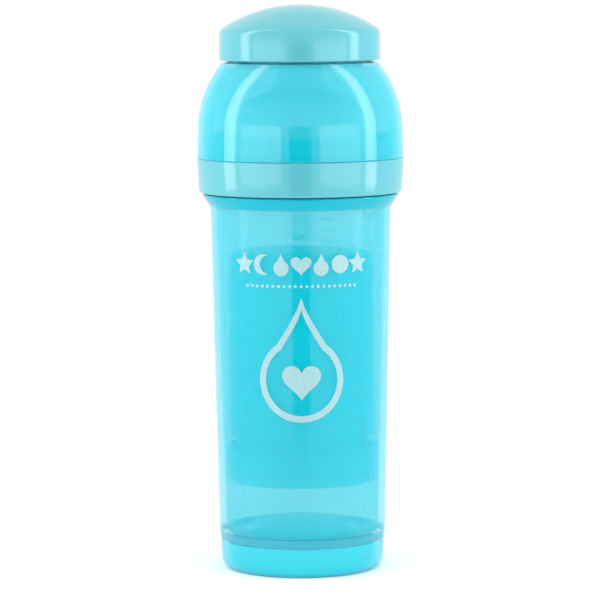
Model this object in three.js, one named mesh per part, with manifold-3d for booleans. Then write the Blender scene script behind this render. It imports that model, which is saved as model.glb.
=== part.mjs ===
// A wide-neck anti-colic feeding bottle with a powder container stored upside down inside it.
// Millimetres, +Z up. The origin is the centre of the ring that the bottle stands on, and -Y is the front.
// Every piece is turned about the Z axis, so an outline is a list of (radius, height) points that runs
// counter-clockwise: outwards along the bottom, up the outside, and back inwards along the top.

import * as THREE from 'three';
import { mergeVertices } from 'three/addons/utils/BufferGeometryUtils.js';
import Module from 'manifold-3d';

const wasm = await Module();
wasm.setup();

// ---- driving dimensions ----

const FACETS = 32;              // facets round a turned piece
const TOLERANCE = 0.05;         // how far a facet may cut inside an arc of an outline
const VENT_SIDES = 8;           // facets round a vent hole
const GAP = 0.3;                // gap between pieces that rest on each other
const FULL_TURN = 2 * Math.PI;

const BOTTLE = {
  ringInner: 22.0,              // the flat ring that it stands on
  ringOuter: 23.6,
  baseRound: 3.8,
  skirtInner: 24.7,             // inside of the skirt under the floor
  kinkRadius: 28.4,             // the outside is a little steeper below this height
  kinkHeight: 14,
  topRadius: 30.5,
  topHeight: 123,
  flare: [[30.8, 124.3], [32.7, 126.3], [33.2, 127.2], [32.9, 127.9]],  // outside of the flange
  neckRadius: 30.2,
  neckBore: 28.3,
  neckTop: 136.4,
  boreTop: 28.6,                // inside radius just under the neck
  boreTopHeight: 122,
  boreLow: 26.4,                // inside radius where the container wedges
  boreLowHeight: 30,
  boreKink: 26.05,              // inside radius at the kink
  floor: 2.2,                   // thickness of the floor
  grooveOuter: 25.0,            // the groove in the floor beside the wall
  grooveInner: 19.4,
  grooveHeight: 12.2,
  plateauRadius: 16.2,          // the floor's raised middle
  plateauHeight: 15.8,
  recessInset: 0.9,             // how much narrower the hollow under the raised middle is
};

const NECK_THREAD = { pitch: 4.2, start: 130.2, turns: 1.0, crest: 31.7 };

const COLLAR = {
  bottom: 128.5,
  lowRadius: 34.46,
  bottomRound: 1.8,
  shoulder: 139.8,              // height of the step that the hood's rim sits on
  shoulderRadius: 35.05,
  edgeRound: 0.45,
  bore: 32.2,
  threadCrest: 30.7,
  threadStart: 130.0,
  threadTurns: 1.0,
  plateBottom: 139.7,
  plateTop: 141.3,
  opening: 26.0,                // the hole that the teat comes through
  upstandInner: 29.8,
  upstandOuter: 31.4,
  upstandTop: 147.3,
  snapBead: { radius: 32.6, height: 142.05, crest: 0.25, foot: 1.05 },
};

const MIXER = {
  flangeRadius: 29.9,
  flangeThickness: 1.0,
  gridRadius: 27.8,
  drop: 1.2,                    // how far the grid hangs below the flange
  rib: 1.6,                     // width of the bars between the slots of a ring
  slotWidth: 2.4,
  slotChord: 3.6,               // length of a slot's straight facets
  hole: 5.0,                    // radius of the hole in the middle
  rings: [                      // rings of curved slots
    { inner: 7.2, count: 5 },
    { inner: 12.0, count: 8 },
    { inner: 16.8, count: 11 },
    { inner: 21.6, count: 14 },
  ],
};

const TEAT = {
  flangeThickness: 1.4,
  grooveRadius: 25.6,
  lipRadius: 26.9,
  lipHeight: 1.0,
  wall: 1.8,
  tipHole: 0.4,
  ventRadius: 0.6,
  ventDistance: 25.2,           // distance of the vent holes from the axis
  ventHeight: 146.0,
  curveSteps: 14,
  // Outside of the breast and nipple, above the lip.
  curve: [[26.0, 143.6], [25.2, 149.5], [22.0, 155.4], [16.5, 159.8], [11.0, 162.2], [8.2, 165.2],
    [7.3, 168.6], [7.7, 172.5], [6.9, 176.0], [4.2, 178.2], [0.4, 178.7]],
};

const HOOD = {
  wall: 1.7,
  lidGap: 0.5,                  // between the shoulder and the lid's edge
  rimRadius: 35.0,
  domeCentre: [-1.5, 149.1],    // centre of the arc that forms the dome's outside
  domeRadius: 36.1,
  domeStart: 2.4,               // degrees of arc where it takes over from the tapered rim
  domeEnd: 39.2,                // and where it meets the shoulder under the lid
  neckRadius: 22.8,
  neckBore: 21.0,
  neckTop: 180.2,
};

const LID_THREAD = { pitch: 4.0, start: 174.7, turns: 0.85, crest: 24.2 };

const LID = {
  bottom: 172.9,
  radius: 27.2,
  edgeRound: 1.0,
  cornerRound: 3.0,
  top: 191.4,
  domeRadius: 48.0,
  wall: 2.4,
  bore: 24.7,
  threadCrest: 23.3,
  threadStart: 174.3,
  threadTurns: 0.9,
  pressRingInner: 20.4,         // ring under the top that presses the seal on the hood's neck
  pressRingOuter: 22.2,
  pressRingHeight: 2.0,
  ceilingFall: 1.8,             // how far the ceiling falls from that ring to the wall
};

const LID_SEAL = {
  radius: 23.9,
  thickness: 1.4,
  bossRadius: 9.6,              // a cup that closes over the nipple's tip
  bossWall: 1.2,
  bossDepth: 3.3,
  bossFloor: 1.5,
  draft: 0.4,
};

const CONTAINER_LID = {
  bottom: 30.2,
  top: 42.0,
  radius: 26.1,
  bore: 24.4,
  floor: 1.6,
  edgeRound: 0.9,
  threadCrest: 23.1,
  threadStart: 36.6,
  threadTurns: 1.0,
};

const CONTAINER_SEAL = {
  radius: 23.7,
  thickness: 1.2,
  ribClearance: 0.5,            // between the rib and the cup's neck around it
  ribWidth: 1.4,
  ribHeight: 0.8,
  draft: 0.35,
};

const CUP_THREAD = { pitch: 4.0, start: 36.0, turns: 1.0, crest: 23.9 };

const CUP = {
  neckRadius: 22.6,
  neckBore: 20.9,
  shoulder: 45.6,               // the neck shows between the container's lid and this height
  radius: 24.7,
  topRadius: 24.4,
  bore: 22.9,
  stepLow: 0.8,                 // the inside widens from the neck between these heights
  stepHigh: 3.0,                // above the shoulder
  top: 108.0,
  cornerRound: 3.0,
  innerRound: 2.4,
  floor: 1.7,
};

// Section of a thread's bead: half its height where it meets the wall, and half at its crest.
const BEAD = { root: 0.95, crest: 0.5, depthInWall: 0.7, runOut: 0.06, endHeight: 0.1 };

// Heights that follow from how the pieces stack up.
const LID_SEAL_BOTTOM = HOOD.neckTop + GAP;
const LID_SEAL_TOP = LID_SEAL_BOTTOM + LID_SEAL.thickness;
const CONTAINER_SEAL_BOTTOM = CONTAINER_LID.bottom + CONTAINER_LID.floor + GAP;
const CUP_RIM = CONTAINER_SEAL_BOTTOM + CONTAINER_SEAL.thickness + GAP;

// ---- geometry helpers ----

// Points of a circular arc about (radius, height) = centre, from one angle in degrees to another.
function arc(centre, radius, from, to) {
  const step = 2 * THREE.MathUtils.radToDeg(Math.acos(1 - TOLERANCE / radius));
  const steps = Math.ceil(Math.abs(to - from) / step);
  const points = [];
  for (let i = 0; i <= steps; i += 1) {
    const angle = THREE.MathUtils.degToRad(from + ((to - from) * i) / steps);
    points.push([centre[0] + radius * Math.cos(angle), centre[1] + radius * Math.sin(angle)]);
  }
  return points;
}

// A polyline moved sideways by a distance, to the left of its direction.
function offset(points, distance) {
  return points.map((point, i) => {
    const before = points[Math.max(i - 1, 0)];
    const after = points[Math.min(i + 1, points.length - 1)];
    const along = new THREE.Vector2(after[0] - before[0], after[1] - before[1]).normalize();
    return [point[0] - along.y * distance, point[1] + along.x * distance];
  });
}

// A smooth curve through a few points, as a polyline of the given number of steps.
function smooth(points, steps) {
  const curve = new THREE.SplineCurve(points.map(([r, z]) => new THREE.Vector2(r, z)));
  return curve.getSpacedPoints(steps).map((point) => [point.x, point.y]);
}

// A closed geometry as a manifold solid. Triangles that collapse on the axis are dropped.
function toSolid(geometry) {
  const bare = geometry.clone();
  bare.deleteAttribute('normal');
  bare.deleteAttribute('uv');
  const merged = mergeVertices(bare, 1e-4);
  const index = Array.from(merged.index.array);
  const kept = [];
  for (let i = 0; i < index.length; i += 3) {
    const [a, b, c] = index.slice(i, i + 3);
    if (a !== b && b !== c && c !== a) kept.push(a, b, c);
  }
  return new wasm.Manifold(new wasm.Mesh({
    numProp: 3,
    vertProperties: Float32Array.from(merged.attributes.position.array),
    triVerts: Uint32Array.from(kept),
  }));
}

function toGeometry(solid) {
  const mesh = solid.getMesh();
  const geometry = new THREE.BufferGeometry();
  geometry.setAttribute('position', new THREE.BufferAttribute(mesh.vertProperties, mesh.numProp));
  geometry.setIndex(new THREE.BufferAttribute(mesh.triVerts, 1));
  geometry.computeVertexNormals();
  return geometry;
}

// An outline turned about the Z axis. An outline that doesn't start on the axis is closed on itself.
function turned(outline) {
  const points = outline.map(([r, z]) => new THREE.Vector2(r, z));
  if (outline[0][0] > 0) points.push(points[0].clone());
  const geometry = new THREE.LatheGeometry(points, FACETS);
  geometry.rotateX(Math.PI / 2);
  return toSolid(geometry);
}

// A helical bead: an extruded section, bent round the Z axis. Its ends run out into the wall.
function threadBead({ pitch, start, turns, crest }, wallRadius, startAngle) {
  const inwards = crest < wallRadius ? -1 : 1;
  const root = wallRadius - inwards * BEAD.depthInWall;
  const section = new THREE.Shape([
    new THREE.Vector2(root, -BEAD.root),
    new THREE.Vector2(crest, -BEAD.crest),
    new THREE.Vector2(crest, BEAD.crest),
    new THREE.Vector2(root, BEAD.root),
  ]);
  const steps = Math.round(FACETS * turns);
  const geometry = new THREE.ExtrudeGeometry(section, { depth: 1, steps, bevelEnabled: false });
  const position = geometry.attributes.position;
  for (let i = 0; i < position.count; i += 1) {
    const way = 1 - position.getZ(i);
    const fromEnd = Math.min(way, 1 - way);
    const height = Math.min(1, BEAD.endHeight + fromEnd / BEAD.runOut);
    const atCrest = position.getX(i) === Math.fround(crest);
    const radius = atCrest ? wallRadius + (crest - wallRadius) * height : root;
    const angle = startAngle + way * turns * FULL_TURN;
    const rise = start + way * turns * pitch;
    position.setXYZ(i, radius * Math.cos(angle), radius * Math.sin(angle), rise + position.getY(i));
  }
  return toSolid(geometry);
}

// Where an inside thread has to start so that it runs midway between the outside thread's turns.
function matingAngle(insideStart, outside) {
  return ((insideStart - outside.start) / outside.pitch + 0.5) * FULL_TURN;
}

// ---- the pieces ----

function bottle() {
  const b = BOTTLE;
  const underGroove = b.grooveHeight - b.floor;
  const underPlateau = b.plateauHeight - b.floor;
  const flangeTop = b.flare.at(-1)[1];
  const outline = [
    [0, underPlateau], [b.plateauRadius - b.recessInset, underPlateau],
    [b.grooveInner - b.recessInset, underGroove], [b.skirtInner, underGroove],
    [b.skirtInner, b.baseRound], [b.ringInner, 0],
    ...arc([b.ringOuter, b.baseRound], b.baseRound, -90, 0),
    [b.kinkRadius, b.kinkHeight], [b.topRadius, b.topHeight],
    ...b.flare,
    [b.neckRadius, flangeTop], [b.neckRadius, b.neckTop], [b.neckBore, b.neckTop],
    [b.neckBore, flangeTop], [b.boreTop, b.boreTopHeight],
    [b.boreLow, b.boreLowHeight], [b.boreKink, b.kinkHeight],
    [b.grooveOuter, b.grooveHeight], [b.grooveInner, b.grooveHeight],
    [b.plateauRadius, b.plateauHeight], [0, b.plateauHeight],
  ];
  return turned(outline).add(threadBead(NECK_THREAD, b.neckRadius, 0));
}

function collar() {
  const c = COLLAR;
  const bead = c.snapBead;
  const outline = [
    [c.bore, c.bottom],
    ...arc([c.lowRadius - c.bottomRound, c.bottom + c.bottomRound], c.bottomRound, -90, 0),
    [c.shoulderRadius, c.shoulder - c.edgeRound], [c.shoulderRadius - c.edgeRound, c.shoulder],
    [c.upstandOuter, c.shoulder], [c.upstandOuter, bead.height - bead.foot],
    [bead.radius, bead.height - bead.crest], [bead.radius, bead.height + bead.crest],
    [c.upstandOuter, bead.height + bead.foot], [c.upstandOuter, c.upstandTop - c.edgeRound],
    [c.upstandOuter - c.edgeRound, c.upstandTop], [c.upstandInner + c.edgeRound, c.upstandTop],
    [c.upstandInner, c.upstandTop - c.edgeRound], [c.upstandInner, c.plateTop],
    [c.opening, c.plateTop], [c.opening, c.plateBottom], [c.bore, c.plateBottom],
  ];
  const thread = {
    pitch: NECK_THREAD.pitch, start: c.threadStart, turns: c.threadTurns, crest: c.threadCrest,
  };
  return turned(outline).add(threadBead(thread, c.bore, matingAngle(c.threadStart, NECK_THREAD)));
}

// The cutter for one curved slot of the grid.
function slotCutter({ inner, count }, middle) {
  const outer = inner + MIXER.slotWidth;
  const half = Math.PI / count;
  const innerHalf = half - MIXER.rib / 2 / inner;
  const outerHalf = half - MIXER.rib / 2 / outer;
  const shape = new THREE.Shape();
  shape.absarc(0, 0, outer, middle - outerHalf, middle + outerHalf, false);
  shape.absarc(0, 0, inner, middle + innerHalf, middle - innerHalf, true);
  const curveSegments = Math.round((2 * half * outer) / MIXER.slotChord);
  const depth = 2 * (MIXER.flangeThickness + MIXER.drop);
  return new THREE.ExtrudeGeometry(shape, { depth, bevelEnabled: false, curveSegments });
}

function mixerGrid() {
  const m = MIXER;
  const flangeBottom = BOTTLE.neckTop + GAP;
  const gridBottom = flangeBottom - m.drop;
  const top = flangeBottom + m.flangeThickness;
  let solid = turned([
    [m.hole, gridBottom], [m.gridRadius, gridBottom], [m.gridRadius, flangeBottom],
    [m.flangeRadius, flangeBottom], [m.flangeRadius, top], [m.hole, top],
  ]);
  for (const ring of m.rings) {
    for (let i = 0; i < ring.count; i += 1) {
      const cutter = slotCutter(ring, (i * FULL_TURN) / ring.count);
      cutter.translate(0, 0, gridBottom - m.drop / 2);
      solid = solid.subtract(toSolid(cutter));
    }
  }
  return solid;
}

function teat() {
  const t = TEAT;
  const flangeBottom = BOTTLE.neckTop + MIXER.flangeThickness + 2 * GAP;
  const flangeTop = flangeBottom + t.flangeThickness;
  const lipBottom = COLLAR.plateTop + GAP;
  const outside = smooth(t.curve, t.curveSteps);
  const inside = offset(outside, t.wall).map(([r, z]) => [Math.max(r, t.tipHole), z]).reverse();
  const boreRadius = t.grooveRadius - t.wall;
  let solid = turned([
    [boreRadius, flangeBottom], [MIXER.flangeRadius, flangeBottom], [MIXER.flangeRadius, flangeTop],
    [t.grooveRadius, flangeTop], [t.grooveRadius, lipBottom],
    [t.lipRadius, lipBottom], [t.lipRadius, lipBottom + t.lipHeight],
    ...outside, ...inside,
    [boreRadius, lipBottom],
  ]);
  for (const side of [-1, 1]) {
    const vent = new THREE.CylinderGeometry(t.ventRadius, t.ventRadius, 4 * t.wall, VENT_SIDES);
    vent.rotateZ(Math.PI / 2);
    vent.translate(side * t.ventDistance, 0, t.ventHeight);
    solid = solid.subtract(toSolid(vent));
  }
  return solid;
}

function hood() {
  const h = HOOD;
  const rim = COLLAR.shoulder + GAP;
  const shoulder = LID.bottom - h.lidGap;
  const outline = [
    [h.rimRadius - h.wall, rim], [h.rimRadius, rim],
    ...arc(h.domeCentre, h.domeRadius, h.domeStart, h.domeEnd),
    [h.neckRadius, shoulder], [h.neckRadius, h.neckTop], [h.neckBore, h.neckTop],
    [h.neckBore, shoulder - h.wall],
    ...arc(h.domeCentre, h.domeRadius - h.wall, h.domeEnd, h.domeStart),
  ];
  return turned(outline).add(threadBead(LID_THREAD, h.neckRadius, 0));
}

function lid() {
  const l = LID;
  const domeCentre = l.top - l.domeRadius;
  // The corner's round touches both the wall and the domed top.
  const cornerRadius = l.radius - l.cornerRound;
  const cornerHeight = domeCentre + Math.sqrt((l.domeRadius - l.cornerRound) ** 2 - cornerRadius ** 2);
  const lean = THREE.MathUtils.radToDeg(Math.atan2(cornerHeight - domeCentre, cornerRadius));
  const insideRadius = l.domeRadius - l.wall;
  const ringLean = THREE.MathUtils.radToDeg(Math.acos(l.pressRingInner / insideRadius));
  const ringBottom = LID_SEAL_TOP + GAP;
  const ceiling = ringBottom + l.pressRingHeight;
  const outline = [
    ...arc([0, domeCentre], insideRadius, 90, ringLean),
    [l.pressRingInner, ringBottom], [l.pressRingOuter, ringBottom],
    [l.pressRingOuter, ceiling], [l.bore, ceiling - l.ceilingFall], [l.bore, l.bottom],
    ...arc([l.radius - l.edgeRound, l.bottom + l.edgeRound], l.edgeRound, -90, 0),
    ...arc([cornerRadius, cornerHeight], l.cornerRound, 0, lean),
    ...arc([0, domeCentre], l.domeRadius, lean, 90).slice(1),
  ];
  const thread = {
    pitch: LID_THREAD.pitch, start: l.threadStart, turns: l.threadTurns, crest: l.threadCrest,
  };
  return turned(outline).add(threadBead(thread, l.bore, matingAngle(l.threadStart, LID_THREAD)));
}

function lidSeal() {
  const s = LID_SEAL;
  const pad = LID_SEAL_BOTTOM - s.bossFloor;
  const skirt = LID_SEAL_BOTTOM - s.bossDepth;
  const bossInner = s.bossRadius - s.bossWall;
  return turned([
    [0, pad], [bossInner - s.draft, pad], [bossInner, skirt], [s.bossRadius, skirt],
    [s.bossRadius + s.draft, LID_SEAL_BOTTOM], [s.radius, LID_SEAL_BOTTOM],
    [s.radius, LID_SEAL_TOP], [0, LID_SEAL_TOP],
  ]);
}

function containerLid() {
  const l = CONTAINER_LID;
  const inside = l.bottom + l.floor;
  const outline = [
    [0, l.bottom],
    ...arc([l.radius - l.edgeRound, l.bottom + l.edgeRound], l.edgeRound, -90, 0),
    [l.radius, l.top], [l.bore, l.top], [l.bore, inside], [0, inside],
  ];
  const thread = {
    pitch: CUP_THREAD.pitch, start: l.threadStart, turns: l.threadTurns, crest: l.threadCrest,
  };
  return turned(outline).add(threadBead(thread, l.bore, matingAngle(l.threadStart, CUP_THREAD)));
}

function containerSeal() {
  const s = CONTAINER_SEAL;
  const top = CONTAINER_SEAL_BOTTOM + s.thickness;
  const ribTop = top + s.ribHeight;
  const ribOuter = CUP.neckBore - s.ribClearance;
  const ribInner = ribOuter - s.ribWidth - 2 * s.draft;
  return turned([
    [0, CONTAINER_SEAL_BOTTOM], [s.radius, CONTAINER_SEAL_BOTTOM], [s.radius, top],
    [ribOuter, top], [ribOuter - s.draft, ribTop], [ribInner + s.draft, ribTop], [ribInner, top],
    [0, top],
  ]);
}

function containerCup() {
  const c = CUP;
  const corner = [c.topRadius - c.cornerRound, c.top - c.cornerRound];
  const innerCorner = [c.bore - c.innerRound, c.top - c.floor - c.innerRound];
  const outline = [
    [c.neckBore, CUP_RIM], [c.neckRadius, CUP_RIM], [c.neckRadius, c.shoulder], [c.radius, c.shoulder],
    ...arc(corner, c.cornerRound, 0, 90),
    [0, c.top], [0, c.top - c.floor],
    ...arc(innerCorner, c.innerRound, 90, 0),
    [c.bore, c.shoulder + c.stepHigh], [c.neckBore, c.shoulder + c.stepLow],
  ];
  return turnedFromAxis(outline).add(threadBead(CUP_THREAD, c.neckRadius, 0));
}

// An outline that touches the axis in its middle, turned so that it starts and ends there.
function turnedFromAxis(outline) {
  const last = outline.findIndex(([r]) => r === 0);
  return turned([...outline.slice(last + 1), ...outline.slice(0, last + 1)]);
}

// ---- the assembly ----

const PASTEL = 0x87d5df;
const CLEAR_TURQUOISE = 0x50d2e4;
const PALE_TURQUOISE = 0x78d3dd;
const SILICONE = 0xe6f0ee;

const PIECES = [
  { name: 'bottle', make: bottle, color: CLEAR_TURQUOISE, roughness: 0.3 },
  { name: 'collar', make: collar, color: PASTEL, roughness: 0.35 },
  { name: 'mixer_grid', make: mixerGrid, color: PALE_TURQUOISE, roughness: 0.4 },
  { name: 'teat', make: teat, color: SILICONE, roughness: 0.5 },
  { name: 'hood', make: hood, color: PALE_TURQUOISE, roughness: 0.25 },
  { name: 'lid_seal', make: lidSeal, color: SILICONE, roughness: 0.5 },
  { name: 'lid', make: lid, color: PASTEL, roughness: 0.35 },
  { name: 'container_lid', make: containerLid, color: CLEAR_TURQUOISE, roughness: 0.35 },
  { name: 'container_seal', make: containerSeal, color: SILICONE, roughness: 0.5 },
  { name: 'container_cup', make: containerCup, color: CLEAR_TURQUOISE, roughness: 0.35 },
];

const assembly = new THREE.Group();
for (const { name, make, color, roughness } of PIECES) {
  const material = new THREE.MeshStandardMaterial({ color, roughness, metalness: 0 });
  const mesh = new THREE.Mesh(toGeometry(make()), material);
  mesh.name = name;
  assembly.add(mesh);
}

export default assembly;
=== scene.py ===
"""Looks of a wide-neck feeding bottle: translucent shells, pastel collar and lid, silicone teat, print."""
import math

import bmesh
import bpy
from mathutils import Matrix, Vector


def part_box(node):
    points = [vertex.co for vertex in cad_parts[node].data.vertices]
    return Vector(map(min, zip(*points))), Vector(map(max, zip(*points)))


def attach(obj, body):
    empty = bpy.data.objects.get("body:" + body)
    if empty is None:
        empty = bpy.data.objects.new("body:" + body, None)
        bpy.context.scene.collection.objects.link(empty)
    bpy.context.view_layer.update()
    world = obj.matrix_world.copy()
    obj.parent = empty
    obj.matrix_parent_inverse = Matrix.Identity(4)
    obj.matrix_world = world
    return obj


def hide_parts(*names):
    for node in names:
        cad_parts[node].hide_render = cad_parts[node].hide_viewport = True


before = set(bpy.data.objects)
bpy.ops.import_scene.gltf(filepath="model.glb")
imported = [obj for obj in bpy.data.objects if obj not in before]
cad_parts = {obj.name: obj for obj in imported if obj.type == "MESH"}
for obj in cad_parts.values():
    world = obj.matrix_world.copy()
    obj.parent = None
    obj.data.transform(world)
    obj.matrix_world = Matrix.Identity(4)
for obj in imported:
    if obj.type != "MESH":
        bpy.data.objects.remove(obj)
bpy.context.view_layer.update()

MM = 0.001
FULL_TURN = 2 * math.pi


# ---- where the CAD puts each piece, in millimetres ----

def low(node):
    """Height of a node's lowest point."""
    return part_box(node)[0][2] / MM


def top(node):
    """Height of a node's highest point."""
    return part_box(node)[1][2] / MM


def reach(node):
    """Largest radius of a node about the bottle's axis."""
    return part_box(node)[1][0] / MM


# ---- outlines: lists of (radius, height) in millimetres ----

FILLET_STEP = math.radians(15)      # turn between the points of a fillet


def rounded(corners):
    """An outline from (radius, height, fillet) corners. Each fillet is an arc that touches both sides."""
    points = []
    count = len(corners)
    for i, corner in enumerate(corners):
        here = Vector(corner[:2])
        fillet = corner[2] if len(corner) > 2 else 0
        if not fillet:
            points.append(here)
            continue
        back = (Vector(corners[(i - 1) % count][:2]) - here).normalized()
        ahead = (Vector(corners[(i + 1) % count][:2]) - here).normalized()
        half = back.angle(ahead) / 2
        reach_in = fillet / math.tan(half)
        centre = here + (back + ahead).normalized() * fillet / math.sin(half)
        start, end = here + back * reach_in - centre, here + ahead * reach_in - centre
        sweep = start.angle_signed(end)
        steps = max(2, round(abs(sweep) / FILLET_STEP))
        for step in range(steps + 1):
            turn = -sweep * step / steps
            points.append(centre + Vector((
                start.x * math.cos(turn) - start.y * math.sin(turn),
                start.x * math.sin(turn) + start.y * math.cos(turn))))
    return [(p.x, p.y) for p in points]


def arc(centre, radius, start, end, steps):
    """Points of an arc about (radius, height) = centre, between two angles in degrees."""
    angles = [math.radians(start + (end - start) * i / steps) for i in range(steps + 1)]
    return [(centre[0] + radius * math.cos(a), centre[1] + radius * math.sin(a)) for a in angles]


def smooth(points, steps):
    """A Catmull-Rom curve through a few points, as a polyline with steps between each pair."""
    ends = [points[0], *points, points[-1]]
    curve = []
    for a, b, c, d in zip(ends, ends[1:], ends[2:], ends[3:]):
        for i in range(steps):
            t = i / steps
            curve.append(tuple(
                b[k] + 0.5 * t * (c[k] - a[k] + t * (2 * a[k] - 5 * b[k] + 4 * c[k] - d[k]
                                                     + t * (3 * (b[k] - c[k]) + d[k] - a[k])))
                for k in (0, 1)))
    return [*curve, points[-1]]


def offset(points, distance):
    """A polyline moved sideways by a distance, to the left of its direction."""
    moved = []
    for i, point in enumerate(points):
        before, after = points[max(i - 1, 0)], points[min(i + 1, len(points) - 1)]
        along = Vector((after[0] - before[0], after[1] - before[1])).normalized()
        moved.append((point[0] - along.y * distance, point[1] + along.x * distance))
    return moved


# ---- meshes ----

SEGMENTS = 160                  # round a turned piece
SHARP = math.radians(38)        # an edge that turns by more than this stays sharp
ON_AXIS = 1e-4                  # a radius under this counts as the axis
THREAD_STEPS = 72               # sections of a thread in one turn
RUN_OUT = 0.06                  # share of a thread's length over which each end runs out
THREAD_ROOT = 0.6               # depth of a thread's root inside its wall


def spin(mesh, outline):
    """Adds an outline turned about the Z axis to a bmesh. An outline off the axis closes on itself."""
    rings = []
    for r, z in outline:
        if r < ON_AXIS:
            rings.append([mesh.verts.new((0, 0, z * MM))])
            continue
        rings.append([
            mesh.verts.new((r * MM * math.cos(a), r * MM * math.sin(a), z * MM))
            for a in (FULL_TURN * i / SEGMENTS for i in range(SEGMENTS))])
    pairs = list(zip(rings, rings[1:]))
    if outline[0][0] > ON_AXIS:
        pairs.append((rings[-1], rings[0]))
    for lower, upper in pairs:
        if len(lower) == len(upper) == 1:
            continue
        for i in range(SEGMENTS):
            j = (i + 1) % SEGMENTS
            corners = [lower[i % len(lower)], lower[j % len(lower)],
                       upper[j % len(upper)], upper[i % len(upper)]]
            mesh.faces.new(list(dict.fromkeys(corners)))


def thread(mesh, pitch, start, turns, wall, crest, mate=None):
    """Adds a helical thread bead on a wall's radius, with ends that run out into the wall. mate is the
    height at which the thread that it screws on starts, and this one then lies midway between its turns."""
    side = -1 if crest < wall else 1
    root = wall - side * THREAD_ROOT
    phase = 0 if mate is None else ((start - mate) / pitch + 0.5) * FULL_TURN
    steps = round(THREAD_STEPS * turns)
    sections = []
    for i in range(steps + 1):
        way = i / steps
        rise = min(1, 0.05 + way / RUN_OUT, 0.05 + (1 - way) / RUN_OUT)
        peak = wall + (crest - wall) * math.sin(rise * math.pi / 2)
        upper_half = [(peak, 0.35), ((wall + peak) / 2, 0.75), (wall, 0.85), (root, 0.95)]
        section = [*((r, -h) for r, h in reversed(upper_half)), *upper_half]
        angle = phase + way * turns * FULL_TURN
        z = start + way * turns * pitch
        sections.append([
            mesh.verts.new((r * MM * math.cos(angle), r * MM * math.sin(angle), (z + h) * MM))
            for r, h in section])
    count = len(sections[0])
    for a, b in zip(sections, sections[1:]):
        for i in range(count):
            j = (i + 1) % count
            mesh.faces.new((a[i], b[i], b[j], a[j]))
    mesh.faces.new(sections[0])
    mesh.faces.new(sections[-1][::-1])


def finish_mesh(name, mesh):
    """Turns a bmesh into a smooth-shaded object with sharp edges where the surface turns a corner."""
    bmesh.ops.recalc_face_normals(mesh, faces=mesh.faces)
    for face in mesh.faces:
        face.smooth = True
    for edge in mesh.edges:
        if len(edge.link_faces) == 2 and edge.calc_face_angle() > SHARP:
            edge.smooth = False
    data = bpy.data.meshes.new(name)
    mesh.to_mesh(data)
    mesh.free()
    piece = bpy.data.objects.new(name, data)
    bpy.context.scene.collection.objects.link(piece)
    return piece


def shell(name, node, outline, material, threads=()):
    """Makes a turned piece that stands for a CAD node and rides on its body."""
    mesh = bmesh.new()
    spin(mesh, outline)
    for one in threads:
        thread(mesh, **one)
    piece = finish_mesh(name, mesh)
    piece.data.materials.append(material)
    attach(piece, node)
    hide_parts(node)


# ---- materials ----

def srgb(red, green, blue):
    """A colour given as 0 to 255 display values, as the linear values that shaders take."""
    shares = [value / 255 for value in (red, green, blue)]
    return (*(((share + 0.055) / 1.055) ** 2.4 if share > 0.04 else share / 12.92 for share in shares), 1)


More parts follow.
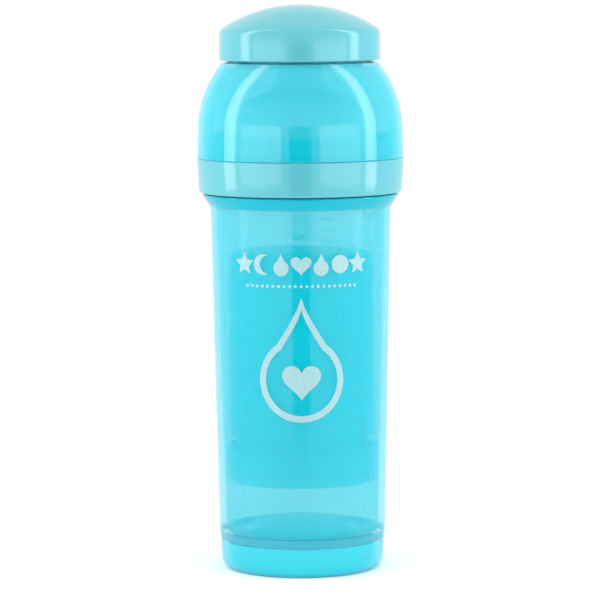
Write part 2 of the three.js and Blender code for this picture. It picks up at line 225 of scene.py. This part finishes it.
class Nodes:
    """A material's node tree with a Principled shader, and short calls to add to it."""

    def __init__(self, name):
        self.material = bpy.data.materials.new(name)
        self.material.use_nodes = True
        self.tree = self.material.node_tree
        self.shader = self.tree.nodes["Principled BSDF"]
        self.place = self.tree.nodes.new("ShaderNodeTexCoord").outputs["Object"]

    def set(self, **values):
        """Fixes inputs of the shader, named with _ for a space."""
        for name, value in values.items():
            self.shader.inputs[name.replace("_", " ")].default_value = value

    def noise(self, scale, detail=3.0, stretch=(1, 1, 1)):
        """A noise over the piece's own coordinates, with so many grains to the metre."""
        mapping = self.tree.nodes.new("ShaderNodeMapping")
        mapping.inputs["Scale"].default_value = stretch
        self.tree.links.new(self.place, mapping.inputs["Vector"])
        node = self.tree.nodes.new("ShaderNodeTexNoise")
        node.inputs["Scale"].default_value = scale
        node.inputs["Detail"].default_value = detail
        self.tree.links.new(mapping.outputs["Vector"], node.inputs["Vector"])
        return node.outputs["Fac"]

    def ramp(self, factor, low_colour, high_colour):
        """From one colour to another over the middle of a noise's range."""
        node = self.tree.nodes.new("ShaderNodeValToRGB")
        stops = node.color_ramp.elements
        stops[0].position, stops[1].position = 0.35, 0.65
        stops[0].color, stops[1].color = low_colour, high_colour
        self.tree.links.new(factor, node.inputs["Fac"])
        return node.outputs["Color"]

    def facing(self):
        """0 where the surface faces the eye, up to 1 where it is seen edge on."""
        node = self.tree.nodes.new("ShaderNodeLayerWeight")
        node.inputs["Blend"].default_value = 0.5
        return node.outputs["Facing"]

    def height(self, bottom, end, fade):
        """1 between two heights in metres, falling to 0 over the fade beyond them."""
        split = self.tree.nodes.new("ShaderNodeSeparateXYZ")
        self.tree.links.new(self.place, split.inputs["Vector"])
        rise = self.between(split.outputs["Z"], 0, 1, bottom - fade, bottom)
        fall = self.between(split.outputs["Z"], 1, 0, end, end + fade)
        return self.combine("MULTIPLY", rise, fall)

    def combine(self, operation, first, second):
        node = self.tree.nodes.new("ShaderNodeMath")
        node.operation = operation
        self.tree.links.new(first, node.inputs[0])
        self.tree.links.new(second, node.inputs[1])
        return node.outputs["Value"]

    def mix(self, factor, first, second_colour):
        """From a fed colour where the factor is 0 to a fixed one where it is 1."""
        node = self.tree.nodes.new("ShaderNodeMix")
        node.data_type = "RGBA"
        first_input, second_input = [one for one in node.inputs if one.type == "RGBA"]
        self.tree.links.new(factor, node.inputs["Factor"])
        self.tree.links.new(first, first_input)
        second_input.default_value = second_colour
        return next(one for one in node.outputs if one.type == "RGBA")

    def between(self, factor, low_value, high_value, start=0.0, end=1.0):
        """Maps a factor from start to end on two values, and holds them beyond."""
        node = self.tree.nodes.new("ShaderNodeMapRange")
        node.inputs["From Min"].default_value = start
        node.inputs["From Max"].default_value = end
        node.inputs["To Min"].default_value = low_value
        node.inputs["To Max"].default_value = high_value
        self.tree.links.new(factor, node.inputs["Value"])
        return node.outputs["Result"]

    def bump(self, height, distance, strength):
        node = self.tree.nodes.new("ShaderNodeBump")
        node.inputs["Distance"].default_value = distance
        node.inputs["Strength"].default_value = strength
        self.tree.links.new(height, node.inputs["Height"])
        self.tree.links.new(node.outputs["Normal"], self.shader.inputs["Normal"])

    def feed(self, name, output):
        """Links an output to an input of the shader."""
        self.tree.links.new(output, self.shader.inputs[name])


TURQUOISE = srgb(2, 211, 229)
DEEP_TURQUOISE = srgb(0, 207, 226)
# colour of the neck's root: partly its thick wall, partly painted shade under the collar
NECK_SHADE_TURQUOISE = srgb(0, 172, 192)
THICKEST_TURQUOISE = srgb(0, 158, 180)
PASTEL = srgb(88, 176, 186)
DEEP_PASTEL = srgb(84, 173, 184)
GRID_PASTEL = srgb(120, 208, 220)
GRID_DEEP_PASTEL = srgb(112, 202, 216)

EDGE_COVER = 0.9                 # how much a see-through wall covers where it is seen along its length
BAND_FADE = 0.0008               # metres over which a dense band fades out
GLOSS, DULL_GLOSS = 0.5, 0.15    # specular level of the plastic, and in the shade under the collar
THICK_AND_SHADE_BANDS = [                  # bottom, end, cover and colour: skirt, corner of the floor, neck's root; the neck's root is partly thick wall, partly painted shade under the collar
    (-0.001, 0.0098, 0.72, TURQUOISE),
    (0.0108, 0.0128, 0.96, THICKEST_TURQUOISE),
    (0.1240, 0.1400, 0.93, NECK_SHADE_TURQUOISE)]


def moulded(name, colour, deeper, roughness, ior, cover=1.0, bands=()):
    """Moulded plastic: cloudy colour from the melt, uneven gloss and a faint orange-peel surface. With a
    cover below 1 it is see-through, and denser in the bands of height where the wall is thick. The last
    band, at the neck's root, is also darker and duller, partly as painted shade under the collar."""
    n = Nodes(name)
    n.set(IOR=ior)
    colour = n.ramp(n.noise(55.0, 2.0, (1, 1, 0.35)), deeper, colour)
    if cover < 1:
        covered = n.between(n.facing(), cover, EDGE_COVER, 0.5, 1.15)
        for bottom, end, density, tint in bands:
            thick_wall_and_shade = n.height(bottom, end, BAND_FADE)
            colour = n.mix(thick_wall_and_shade, colour, tint)
            covered = n.combine("MAXIMUM", covered, n.between(thick_wall_and_shade, 0, density))
        n.feed("Alpha", covered)
        if bands:
            # the last band's lowered gloss is painted shade under the collar
            n.feed("Specular IOR Level", n.between(thick_wall_and_shade, GLOSS, DULL_GLOSS))
    n.feed("Base Color", colour)
    n.feed("Roughness", n.between(n.noise(420.0, 4.0), roughness * 0.85, roughness * 1.2))
    n.bump(n.noise(900.0, 2.0), 0.00004, 0.25)
    return n.material


BOTTLE_PLASTIC = moulded("bottle_plastic", TURQUOISE, DEEP_TURQUOISE, 0.07, 1.7, 0.45, THICK_AND_SHADE_BANDS)
HOOD_PLASTIC = moulded("hood_plastic", TURQUOISE, DEEP_TURQUOISE, 0.06, 1.7, 0.5)
CONTAINER_PLASTIC = moulded("container_plastic", TURQUOISE, DEEP_TURQUOISE, 0.3, 1.6, 0.55)
OPAQUE_PLASTIC = moulded("opaque_plastic", PASTEL, DEEP_PASTEL, 0.13, 1.5)
GRID_PLASTIC = moulded("grid_plastic", GRID_PASTEL, GRID_DEEP_PASTEL, 0.35, 1.5)


def silicone():
    """Clear soft silicone: milky, with a satin skin."""
    n = Nodes("silicone")
    n.set(Alpha=0.7, IOR=1.42)
    n.feed("Base Color", n.ramp(n.noise(70.0, 2.0), srgb(212, 232, 234), srgb(226, 241, 241)))
    n.feed("Roughness", n.between(n.noise(300.0, 3.0), 0.34, 0.46))
    n.bump(n.noise(1400.0, 2.0), 0.00003, 0.3)
    return n.material


SILICONE = silicone()


def ink():
    """Pale screen-print ink, slightly uneven in cover."""
    n = Nodes("print_ink")
    n.set(IOR=1.45)
    n.feed("Base Color", n.ramp(n.noise(900.0, 3.0), srgb(146, 188, 194), srgb(154, 193, 198)))
    n.feed("Roughness", n.between(n.noise(1500.0, 3.0), 0.38, 0.5))
    n.bump(n.noise(2500.0, 2.0), 0.00002, 0.3)
    return n.material


INK = ink()


# ---- turned pieces ----

CLOSER = 0.25                             # how far an outer edge comes down towards the piece under it
NECK_PITCH = 4.2                          # rise of the collar's and the neck's thread in one turn
LID_PITCH = 4.0                           # likewise of the lid's and the container's threads
NECK_THREAD, COLLAR_THREAD = 130.2, 130.0             # heights at which mating threads start
HOOD_THREAD, LID_THREAD = 174.7, 174.3
CUP_THREAD, CONTAINER_LID_THREAD = 36.0, 36.6
WALL_OUTSIDE = ((28.4, 14.0), (30.5, 123.2))          # (radius, height) of both ends of the taper
WALL_INSIDE = ((26.4, 30.0), (28.6, 122.0))
FLOOR = 12.2                                          # height of the floor's upper face
PLATEAU = (16.2, 15.8)                                # radius and height of the floor's raised middle


def bottle():
    base, rim, flange = low("bottle"), top("bottle"), reach("bottle")
    (foot_radius, foot), (shoulder_radius, shoulder) = WALL_OUTSIDE
    (inner_foot_radius, inner_foot), (inner_top_radius, inner_top) = WALL_INSIDE
    plateau_radius, plateau = PLATEAU
    neck, mouth, neck_foot = 30.2, 28.3, rim - 8.5
    corners = [
        (0, base + 13.6), (15.3, base + 13.6, 1.0), (18.5, base + 10.0, 1.0), (24.7, base + 10.0, 0.8),
        (24.7, base + 3.8, 1.0), (22.0, base, 0.5), (27.3, base, 3.75),
        (foot_radius, base + foot, 12.0), (shoulder_radius, base + shoulder, 3.0),
        (flange + 0.1, neck_foot - 0.5, 0.7), (flange - 0.2, neck_foot, 0.5), (neck, neck_foot, 0.4),
        (neck, rim, 0.6), (mouth, rim, 0.6), (mouth, neck_foot, 6.0),
        (inner_top_radius, base + inner_top, 6.0), (inner_foot_radius, base + inner_foot),
        (26.05, base + 14, 3.0), (25.0, base + FLOOR, 1.6), (19.4, base + FLOOR, 1.5),
        (plateau_radius, base + plateau, 1.2), (2.2, base + plateau, 0.3),
        (1.6, base + plateau + 0.5, 0.25), (0, base + plateau + 0.5)]
    neck_thread = {"pitch": NECK_PITCH, "start": base + NECK_THREAD, "turns": 1.0, "wall": neck,
                   "crest": 31.7}
    shell("bottle_shell", "bottle", rounded(corners), BOTTLE_PLASTIC, [neck_thread])


def collar():
    foot, crown, outer = low("collar"), top("collar"), reach("collar")
    shoulder, plate = foot + 11.3, foot + 12.8
    bore, ring, bead = 32.2, 31.4, 32.6
    clamp = plate - 1.6
    corners = [
        (bore, foot - CLOSER, 0.4), (34.35, foot - CLOSER, 0.8), (outer, shoulder, 0.35),
        (ring, shoulder, 0.3), (ring, foot + 12.5, 0.4), (bead, foot + 13.3, 0.3),
        (bead, foot + 13.8, 0.3), (ring, foot + 14.6, 0.4), (ring, crown, 0.5), (29.8, crown, 0.4),
        (29.8, plate, 0.5), (26.0, plate, 0.4), (26.0, clamp, 0.4), (bore, clamp, 0.5)]
    collar_thread = {"pitch": NECK_PITCH, "start": COLLAR_THREAD, "turns": 1.0, "wall": bore,
                     "crest": 30.7, "mate": NECK_THREAD}
    shell("collar_ring", "collar", rounded(corners), OPAQUE_PLASTIC, [collar_thread])


def hood():
    rim, neck_top, outer = low("hood"), top("hood"), reach("hood")
    wall, neck_radius = 1.7, 22.8
    centre, dome_radius = (-1.5, rim + 9.0), 36.1
    shoulder = rim + 32.3
    dome = arc(centre, dome_radius, 2.4, 39.0, 26)
    inner_dome = arc(centre, dome_radius - wall, 39.0, 2.4, 26)
    neck = rounded([
        (26.6, shoulder, 0), (neck_radius, shoulder, 0.6), (neck_radius, neck_top, 0.5),
        (21.0, neck_top, 0.5), (21.0, shoulder - wall, 0.8), (25.2, shoulder - wall - 0.1, 0)])
    foot = rounded([
        (33.0, rim + 6, 0), (outer - wall, rim - CLOSER, 0.4), (outer, rim - CLOSER, 0.3),
        (34.7, rim + 6, 0)])[1:-1]
    hood_thread = {"pitch": LID_PITCH, "start": HOOD_THREAD, "turns": 0.85, "wall": neck_radius,
                   "crest": 24.2}
    outline = [*foot, *dome, *neck[1:-1], *inner_dome]
    shell("hood_dome", "hood", outline, HOOD_PLASTIC, [hood_thread])


def lid():
    foot, crown, outer = low("lid") - CLOSER, top("lid"), reach("lid")
    dome_radius, corner, wall = 48.0, 3.0, 2.4
    dome_centre = crown - dome_radius
    corner_height = dome_centre + math.sqrt((dome_radius - corner) ** 2 - (outer - corner) ** 2)
    lean = math.degrees(math.atan2(corner_height - dome_centre, outer - corner))
    ring_radius, bore = 20.4, 24.7
    ring_lean = math.degrees(math.acos(ring_radius / (dome_radius - wall)))
    ring = top("lid_seal") + 0.3
    inside = rounded([
        (ring_radius, ring + 3, 0), (ring_radius, ring, 0.3), (22.2, ring, 0.3), (22.2, ring + 2, 0.4),
        (bore, ring + 0.2, 0.8), (bore, foot, 0.5), (outer, foot, 0.6), (outer, foot + 5, 0)])[1:-1]
    outline = [
        *arc((0, dome_centre), dome_radius - wall, 90, ring_lean, 10), *inside,
        *arc((outer - corner, corner_height), corner, 0, lean, 10),
        *arc((0, dome_centre), dome_radius, lean, 90, 24)[1:]]
    lid_thread = {"pitch": LID_PITCH, "start": LID_THREAD, "turns": 0.9, "wall": bore, "crest": 23.3,
                  "mate": HOOD_THREAD}
    shell("lid_cap", "lid", outline, OPAQUE_PLASTIC, [lid_thread])


def teat():
    flange = low("teat")
    lip = flange + 3.6
    wall, tip_hole, stem = 1.8, 0.4, 25.6
    outside = smooth([
        (26.0, flange + 5.6), (25.2, flange + 11.5), (22.0, flange + 17.4), (16.5, flange + 21.8),
        (11.0, flange + 24.2), (8.2, flange + 27.2), (7.3, flange + 30.6), (7.7, flange + 34.5),
        (6.9, flange + 38.0), (4.2, flange + 40.2), (tip_hole, flange + 40.7)], 6)
    inside = [(max(r, tip_hole), z) for r, z in offset(outside, wall)][::-1]
    bore = stem - wall
    foot = rounded([
        (bore, flange + 8, 0), (bore, flange, 0.5), (29.9, flange, 0.5), (29.9, flange + 1.4, 0.5),
        (stem, flange + 1.4, 0.4), (stem, lip, 0.4), (26.9, lip, 0.4), (26.9, lip + 1.2, 0.5),
        (26.0, lip + 2.0, 0)])[1:-1]
    shell("teat_silicone", "teat", [*foot, *outside, *inside], SILICONE)


def lid_seal():
    skirt, crown, outer = low("lid_seal"), top("lid_seal"), reach("lid_seal")
    face = crown - 1.4
    corners = [
        (0, face - 1.5), (8.0, face - 1.5, 0.3), (8.4, skirt, 0.3), (9.6, skirt, 0.3), (10.0, face, 0.4),
        (outer, face, 0.4), (outer, crown, 0.4), (0, crown)]
    shell("lid_seal_disc", "lid_seal", rounded(corners), SILICONE)


def container_lid():
    floor, rim, outer = low("container_lid"), top("container_lid"), reach("container_lid")
    bore, inside = 24.4, floor + 1.6
    corners = [
        (0, floor), (outer, floor, 1.1), (outer, rim, 0.5), (bore, rim, 0.4), (bore, inside, 0.5),
        (0, inside)]
    lid_thread = {"pitch": LID_PITCH, "start": CONTAINER_LID_THREAD, "turns": 1.0, "wall": bore,
                  "crest": 23.1, "mate": CUP_THREAD}
    shell("container_lid_cap", "container_lid", rounded(corners), CONTAINER_PLASTIC, [lid_thread])


def container_seal():
    bottom, outer = low("container_seal"), reach("container_seal")
    face = bottom + 1.2
    bead = face + 0.8
    corners = [
        (0, bottom), (outer, bottom, 0.3), (outer, face, 0.3), (20.4, face, 0.2), (20.1, bead, 0.2),
        (18.7, bead, 0.2), (18.3, face, 0.2), (0, face)]
    shell("container_seal_disc", "container_seal", rounded(corners), SILICONE)


def container_cup():
    rim, crown, outer = low("container_cup"), top("container_cup"), reach("container_cup")
    shoulder = top("container_lid") + 3.6
    inside, bore, neck_bore, neck = crown - 1.7, 22.9, 20.9, 22.6
    corners = [
        (0, inside), (bore, inside, 2.2), (bore, shoulder + 3.0, 1.2), (neck_bore, shoulder + 0.8, 1.0),
        (neck_bore, rim, 0.4), (neck, rim, 0.4), (neck, shoulder, 0.5), (outer, shoulder, 0.5),
        (24.4, crown, 2.8), (0, crown)]
    cup_thread = {"pitch": LID_PITCH, "start": CUP_THREAD, "turns": 1.0, "wall": neck, "crest": 23.9}
    shell("container_cup_shell", "container_cup", rounded(corners), CONTAINER_PLASTIC, [cup_thread])


# ---- mixing grid ----

GRID_HOLE = 5.0
GRID_RADIUS = 27.8                                           # of the disc under the flange
FLANGE_HEIGHT = 1.2                                          # of the flange above the disc's foot
SLOT_RINGS = [(7.2, 5), (12.0, 8), (16.8, 11), (21.6, 14)]   # inner radius and number of slots
SLOT_WIDTH = 2.4


def grid_bar(mesh, inner, angle, z0, z1):
    """Adds one bar between two slots of a ring, with slightly bevelled long edges and buried ends."""
    half, ease, bury = 0.8, 0.2, 0.4
    section = [(-half, z0 + ease), (-half + ease, z0), (half - ease, z0), (half, z0 + ease),
               (half, z1 - ease), (half - ease, z1), (-half + ease, z1), (-half, z1 - ease)]
    along = Vector((math.cos(angle), math.sin(angle), 0))
    across = Vector((-along.y, along.x, 0))
    ends = [[mesh.verts.new((along * r + across * s + Vector((0, 0, z))) * MM) for s, z in section]
            for r in (inner - bury, inner + SLOT_WIDTH + bury)]
    count = len(section)
    for i in range(count):
        j = (i + 1) % count
        mesh.faces.new((ends[0][i], ends[1][i], ends[1][j], ends[0][j]))
    mesh.faces.new(ends[0])
    mesh.faces.new(ends[1][::-1])


def mixer_grid():
    bottom, crown, outer = low("mixer_grid"), top("mixer_grid"), reach("mixer_grid")
    flange = bottom + FLANGE_HEIGHT
    mesh = bmesh.new()
    lands = [GRID_HOLE, *(inner + SLOT_WIDTH for inner, _ in SLOT_RINGS)]
    for land, (following, _) in zip(lands, SLOT_RINGS):
        spin(mesh, rounded([(land, bottom, 0.2), (following, bottom, 0.2),
                            (following, crown, 0.2), (land, crown, 0.2)]))
    spin(mesh, rounded([(lands[-1], bottom, 0.2), (GRID_RADIUS, bottom, 0.3), (GRID_RADIUS, flange, 0.2),
                        (outer, flange, 0.3), (outer, crown, 0.3), (lands[-1], crown, 0.2)]))
    for inner, slots in SLOT_RINGS:
        for i in range(slots):
            grid_bar(mesh, inner, FULL_TURN * (i + 0.5) / slots, bottom, crown)
    piece = finish_mesh("mixer_grid_disc", mesh)
    piece.data.materials.append(GRID_PLASTIC)
    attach(piece, "mixer_grid")
    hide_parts("mixer_grid")


# ---- print on the bottle ----

PRINT_DEPTH = 0.05
PRINT_GAP = 0.03            # between the wall and the ink, so that the faces don't meet
STRIP_WIDTH = 1.5           # width of the strips in which flat shapes follow the round wall
WELD = 1e-4                 # points of the print nearer than this are one


def along(taper, z):
    """Radius of a taper, given as its two (radius, height) ends, at a height."""
    (foot_radius, foot), (top_radius, end) = taper
    return foot_radius + (top_radius - foot_radius) * (z - foot) / (end - foot)


def circle(x, y, radius, steps=28):
    return arc((x, y), radius, 0, 360, steps)[:-1]


def star(x, y, radius, points=5, waist=0.5):
    """A star whose inner corners lie at waist times its radius."""
    return [(x + r * math.sin(a), y + r * math.cos(a))
            for i in range(2 * points)
            for r, a in [(radius * (waist if i % 2 else 1), math.pi * i / points)]]


def drop(x, y, radius):
    """A drop: a round belly whose flanks narrow to a point above it."""
    belly = arc((x, y), radius, -235, 55, 30)
    tip = y + 1.9 * radius
    right, left = [
        [(x + (side - x) * (1 - t) ** 1.25, z + (tip - z) * t) for t in (0.25, 0.5, 0.75)]
        for side, z in (belly[-1], belly[0])]
    return [*belly, *right, (x, tip), *left[::-1]]


def heart(x, y, size, steps=36):
    outline = []
    for i in range(steps):
        a = FULL_TURN * i / steps
        lobes = 13 * math.cos(a) - 5 * math.cos(2 * a) - 2 * math.cos(3 * a) - math.cos(4 * a)
        outline.append((x + size * math.sin(a) ** 3, y + size * lobes / 16))
    return outline


def moon(x, y, radius):
    """A crescent, as one circle's arc with a smaller circle's arc cut out of its right side."""
    outer = arc((x, y), radius, 60, 300, 20)
    inner = arc((x + 0.5 * radius, y), 0.87 * radius, 270, 90, 20)
    return [*outer, *inner[1:-1]]


def flat_shapes(outlines):
    """A flat filled curve of closed outlines, where one inside another is a hole."""
    curve = bpy.data.curves.new("outlines", "CURVE")
    curve.dimensions = "2D"
    curve.fill_mode = "BOTH"
    for outline in outlines:
        spline = curve.splines.new("POLY")
        spline.points.add(len(outline) - 1)
        for point, (x, y) in zip(spline.points, outline):
            point.co = (x, y, 0, 1)
        spline.use_cyclic_u = True
    return curve


def numerals(text, x, y, size):
    """A number or unit of the scale as a flat curve, right of x and centred on y."""
    curve = bpy.data.curves.new("numerals", "FONT")
    curve.body = text
    curve.size = size
    curve.align_x, curve.align_y = "LEFT", "CENTER"
    curve.offset_x, curve.offset_y = x, y
    curve.fill_mode = "FRONT"
    return curve


def add_print(name, curves, facing):
    """Lays flat curves on the bottle's wall, as one thin layer of ink. facing is the angle of x = 0."""
    mesh = bmesh.new()
    for curve in curves:
        curve.extrude = PRINT_DEPTH / 2
        stand_in = bpy.data.objects.new("flat", curve)
        part = stand_in.to_mesh()
        mesh.from_mesh(part)
        stand_in.to_mesh_clear()
        bpy.data.objects.remove(stand_in)
        bpy.data.curves.remove(curve)
    bmesh.ops.remove_doubles(mesh, verts=mesh.verts, dist=WELD)
    sides = [vert.co.x for vert in mesh.verts]
    cut = math.ceil(min(sides))
    while cut < max(sides):
        everything = [*mesh.verts, *mesh.edges, *mesh.faces]
        bmesh.ops.bisect_plane(mesh, geom=everything, plane_co=(cut, 0, 0), plane_no=(1, 0, 0))
        cut += STRIP_WIDTH
    foot = low("bottle")
    for vert in mesh.verts:
        x, z, lift = vert.co
        radius = along(WALL_OUTSIDE, z)
        angle = facing + x / radius
        radius += PRINT_GAP + PRINT_DEPTH / 2 + lift
        vert.co = Vector((radius * math.cos(angle), radius * math.sin(angle), foot + z)) * MM
    piece = finish_mesh(name, mesh)
    piece.data.materials.append(INK)
    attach(piece, "bottle")


def front_print():
    """A row of small shapes, a dotted line, and a large drop with a heart in it."""
    row, line, emblem = 105.9, 98.7, 67.5
    shapes = [
        star(-20.2, row, 3.9), moon(-12.9, row, 3.5), drop(-6.7, row - 1.2, 2.6), heart(0, row, 3.5),
        drop(6.7, row - 1.2, 2.6), circle(13.4, row, 3.1), star(20.2, row, 3.9)]
    dots = [circle(-19 + 1.9 * i, line, 0.55, 12) for i in range(21)]
    belly, stroke = 14.4, 2.2
    large_drop = [drop(0, emblem, belly), drop(0, emblem, belly - stroke), heart(0, emblem - 0.2, 6.6)]
    add_print("front_print", [flat_shapes(group) for group in (shapes, dots, large_drop)], -math.pi / 2)


def filled_height(millilitres):
    """Height above the foot to which this much liquid fills the bottle."""
    plateau_radius, plateau = PLATEAU
    volume, z, step = 0.0, FLOOR, 0.1
    while volume < millilitres * 1000:
        taken = plateau_radius if z < plateau else 0
        volume += math.pi * (along(WALL_INSIDE, z) ** 2 - taken ** 2) * step
        z += step
    return z


def back_scale():
    """A filling scale in millilitres, with a line every 10 and a number every 50."""
    left, digits_left, half_stroke = -12, -1.4, 0.22
    lines, numbers = [], []
    for amount in range(30, 241, 10):
        z = filled_height(amount)
        numbered = amount % 50 == 0
        right = left + (9.0 if numbered else 5.0)
        lines.append([(left, z - half_stroke), (right, z - half_stroke),
                      (right, z + half_stroke), (left, z + half_stroke)])
        if numbered:
            numbers.append(numerals(str(amount), digits_left, z, 5.4))
    unit = numerals("ml", digits_left, filled_height(224), 4.2)
    add_print("back_scale", [flat_shapes(lines), *numbers, unit], math.pi / 2)


# ---- studio, in metres ----

ROOM_STRENGTH = 1.05            # of the white light all round
FLOOR_REACH = 40.0              # half width of the floor
LIGHT_DISTANCE = 0.25
LIGHT_FOOT = 0.080
SOFTBOX = {"azimuth": 43.5, "height": 0.097, "width": 0.215, "energy": 0.11}
STRIP = {"azimuth": 80.5, "height": 1.6, "width": 0.066, "energy": 1.4}
CARD_DISTANCE = 0.25
CARD_WIDTH, CARD_HEIGHT = 0.1, 0.175
UNIT_SHEET = 0.5                # half width of a sheet that is 1 across, so that its scale is its size
LENS, SENSOR = 200.4, 36.0      # millimetres
FARTHEST = 100.0                # that the camera sees
EYE = (-0.0004, -1.130, 0.206)
AIM = (-0.0004, 0, 0.0912)
ROLL = -0.33                    # degrees


def area_light(name, side, azimuth, height, width, energy):
    """A rectangular soft light at an azimuth from the front, to the left for side -1 and right for 1."""
    data = bpy.data.lights.new(name, "AREA")
    data.shape = "RECTANGLE"
    data.size, data.size_y = width, height
    data.energy = energy
    light = bpy.data.objects.new(name, data)
    bpy.context.scene.collection.objects.link(light)
    a = math.radians(side * azimuth)
    light.location = (LIGHT_DISTANCE * math.sin(a), -LIGHT_DISTANCE * math.cos(a), LIGHT_FOOT + height / 2)
    light.rotation_euler = (math.pi / 2, 0, a)
    light.visible_camera = False


def sheet(name, half_width, material):
    """A square sheet on the ground."""
    mesh = bmesh.new()
    bmesh.ops.create_grid(mesh, x_segments=1, y_segments=1, size=half_width)
    piece = finish_mesh(name, mesh)
    piece.data.materials.append(material)
    return piece


def card_stock(name, grain, darker, lighter, **values):
    """Plain sheet material: a grey that varies a little."""
    n = Nodes(name)
    n.set(**values)
    n.feed("Base Color", n.ramp(n.noise(grain), (*[darker] * 3, 1), (*[lighter] * 3, 1)))
    return n.material


def studio():
    world = bpy.data.worlds.new("white_room")
    world.use_nodes = True
    background = world.node_tree.nodes["Background"]
    background.inputs["Color"].default_value = (1, 1, 1, 1)
    background.inputs["Strength"].default_value = ROOM_STRENGTH
    bpy.context.scene.world = world
    paper = card_stock("floor_paper", 3.0, 0.95, 0.96, Roughness=0.9)
    floor = sheet("floor", FLOOR_REACH, paper)
    for side in (-1, 1):
        area_light(f"softbox_{side + 1}", side, **SOFTBOX)
        area_light(f"strip_{side + 1}", side, **STRIP)


def flag():
    """A black card before the bottle that only mirror reflections see, as a dark line down its middle."""
    black = card_stock("card_black", 5.0, 0.001, 0.002, Roughness=1.0, IOR=1.0)
    card = sheet("black_card", UNIT_SHEET, black)
    card.scale = (CARD_WIDTH, CARD_HEIGHT, 1)
    card.rotation_euler = (math.pi / 2, 0, 0)
    card.location = (0, -CARD_DISTANCE, CARD_HEIGHT / 2)
    card.visible_camera = False
    card.visible_diffuse = False
    card.visible_transmission = False
    card.visible_shadow = False


def camera():
    data = bpy.data.cameras.new("camera")
    data.lens = LENS
    data.sensor_width = SENSOR
    data.clip_end = FARTHEST
    eye = bpy.data.objects.new("camera", data)
    bpy.context.scene.collection.objects.link(eye)
    eye.location = EYE
    eye.rotation_euler = (Vector(AIM) - eye.location).to_track_quat("-Z", "Y").to_euler()
    eye.rotation_euler.rotate_axis("Z", math.radians(ROLL))
    bpy.context.scene.camera = eye


# ---- the scene ----

bottle()
collar()
hood()
lid()
teat()
mixer_grid()
lid_seal()
container_lid()
container_seal()
container_cup()
front_print()
back_scale()
studio()
flag()
camera()

bpy.context.scene.view_settings.view_transform = "Standard"
bpy.context.scene.cycles.transparent_max_bounces = 48      # light passes many see-through walls
bpy.context.scene.cycles.max_bounces = 24
bpy.context.scene.cycles.diffuse_bounces = 16
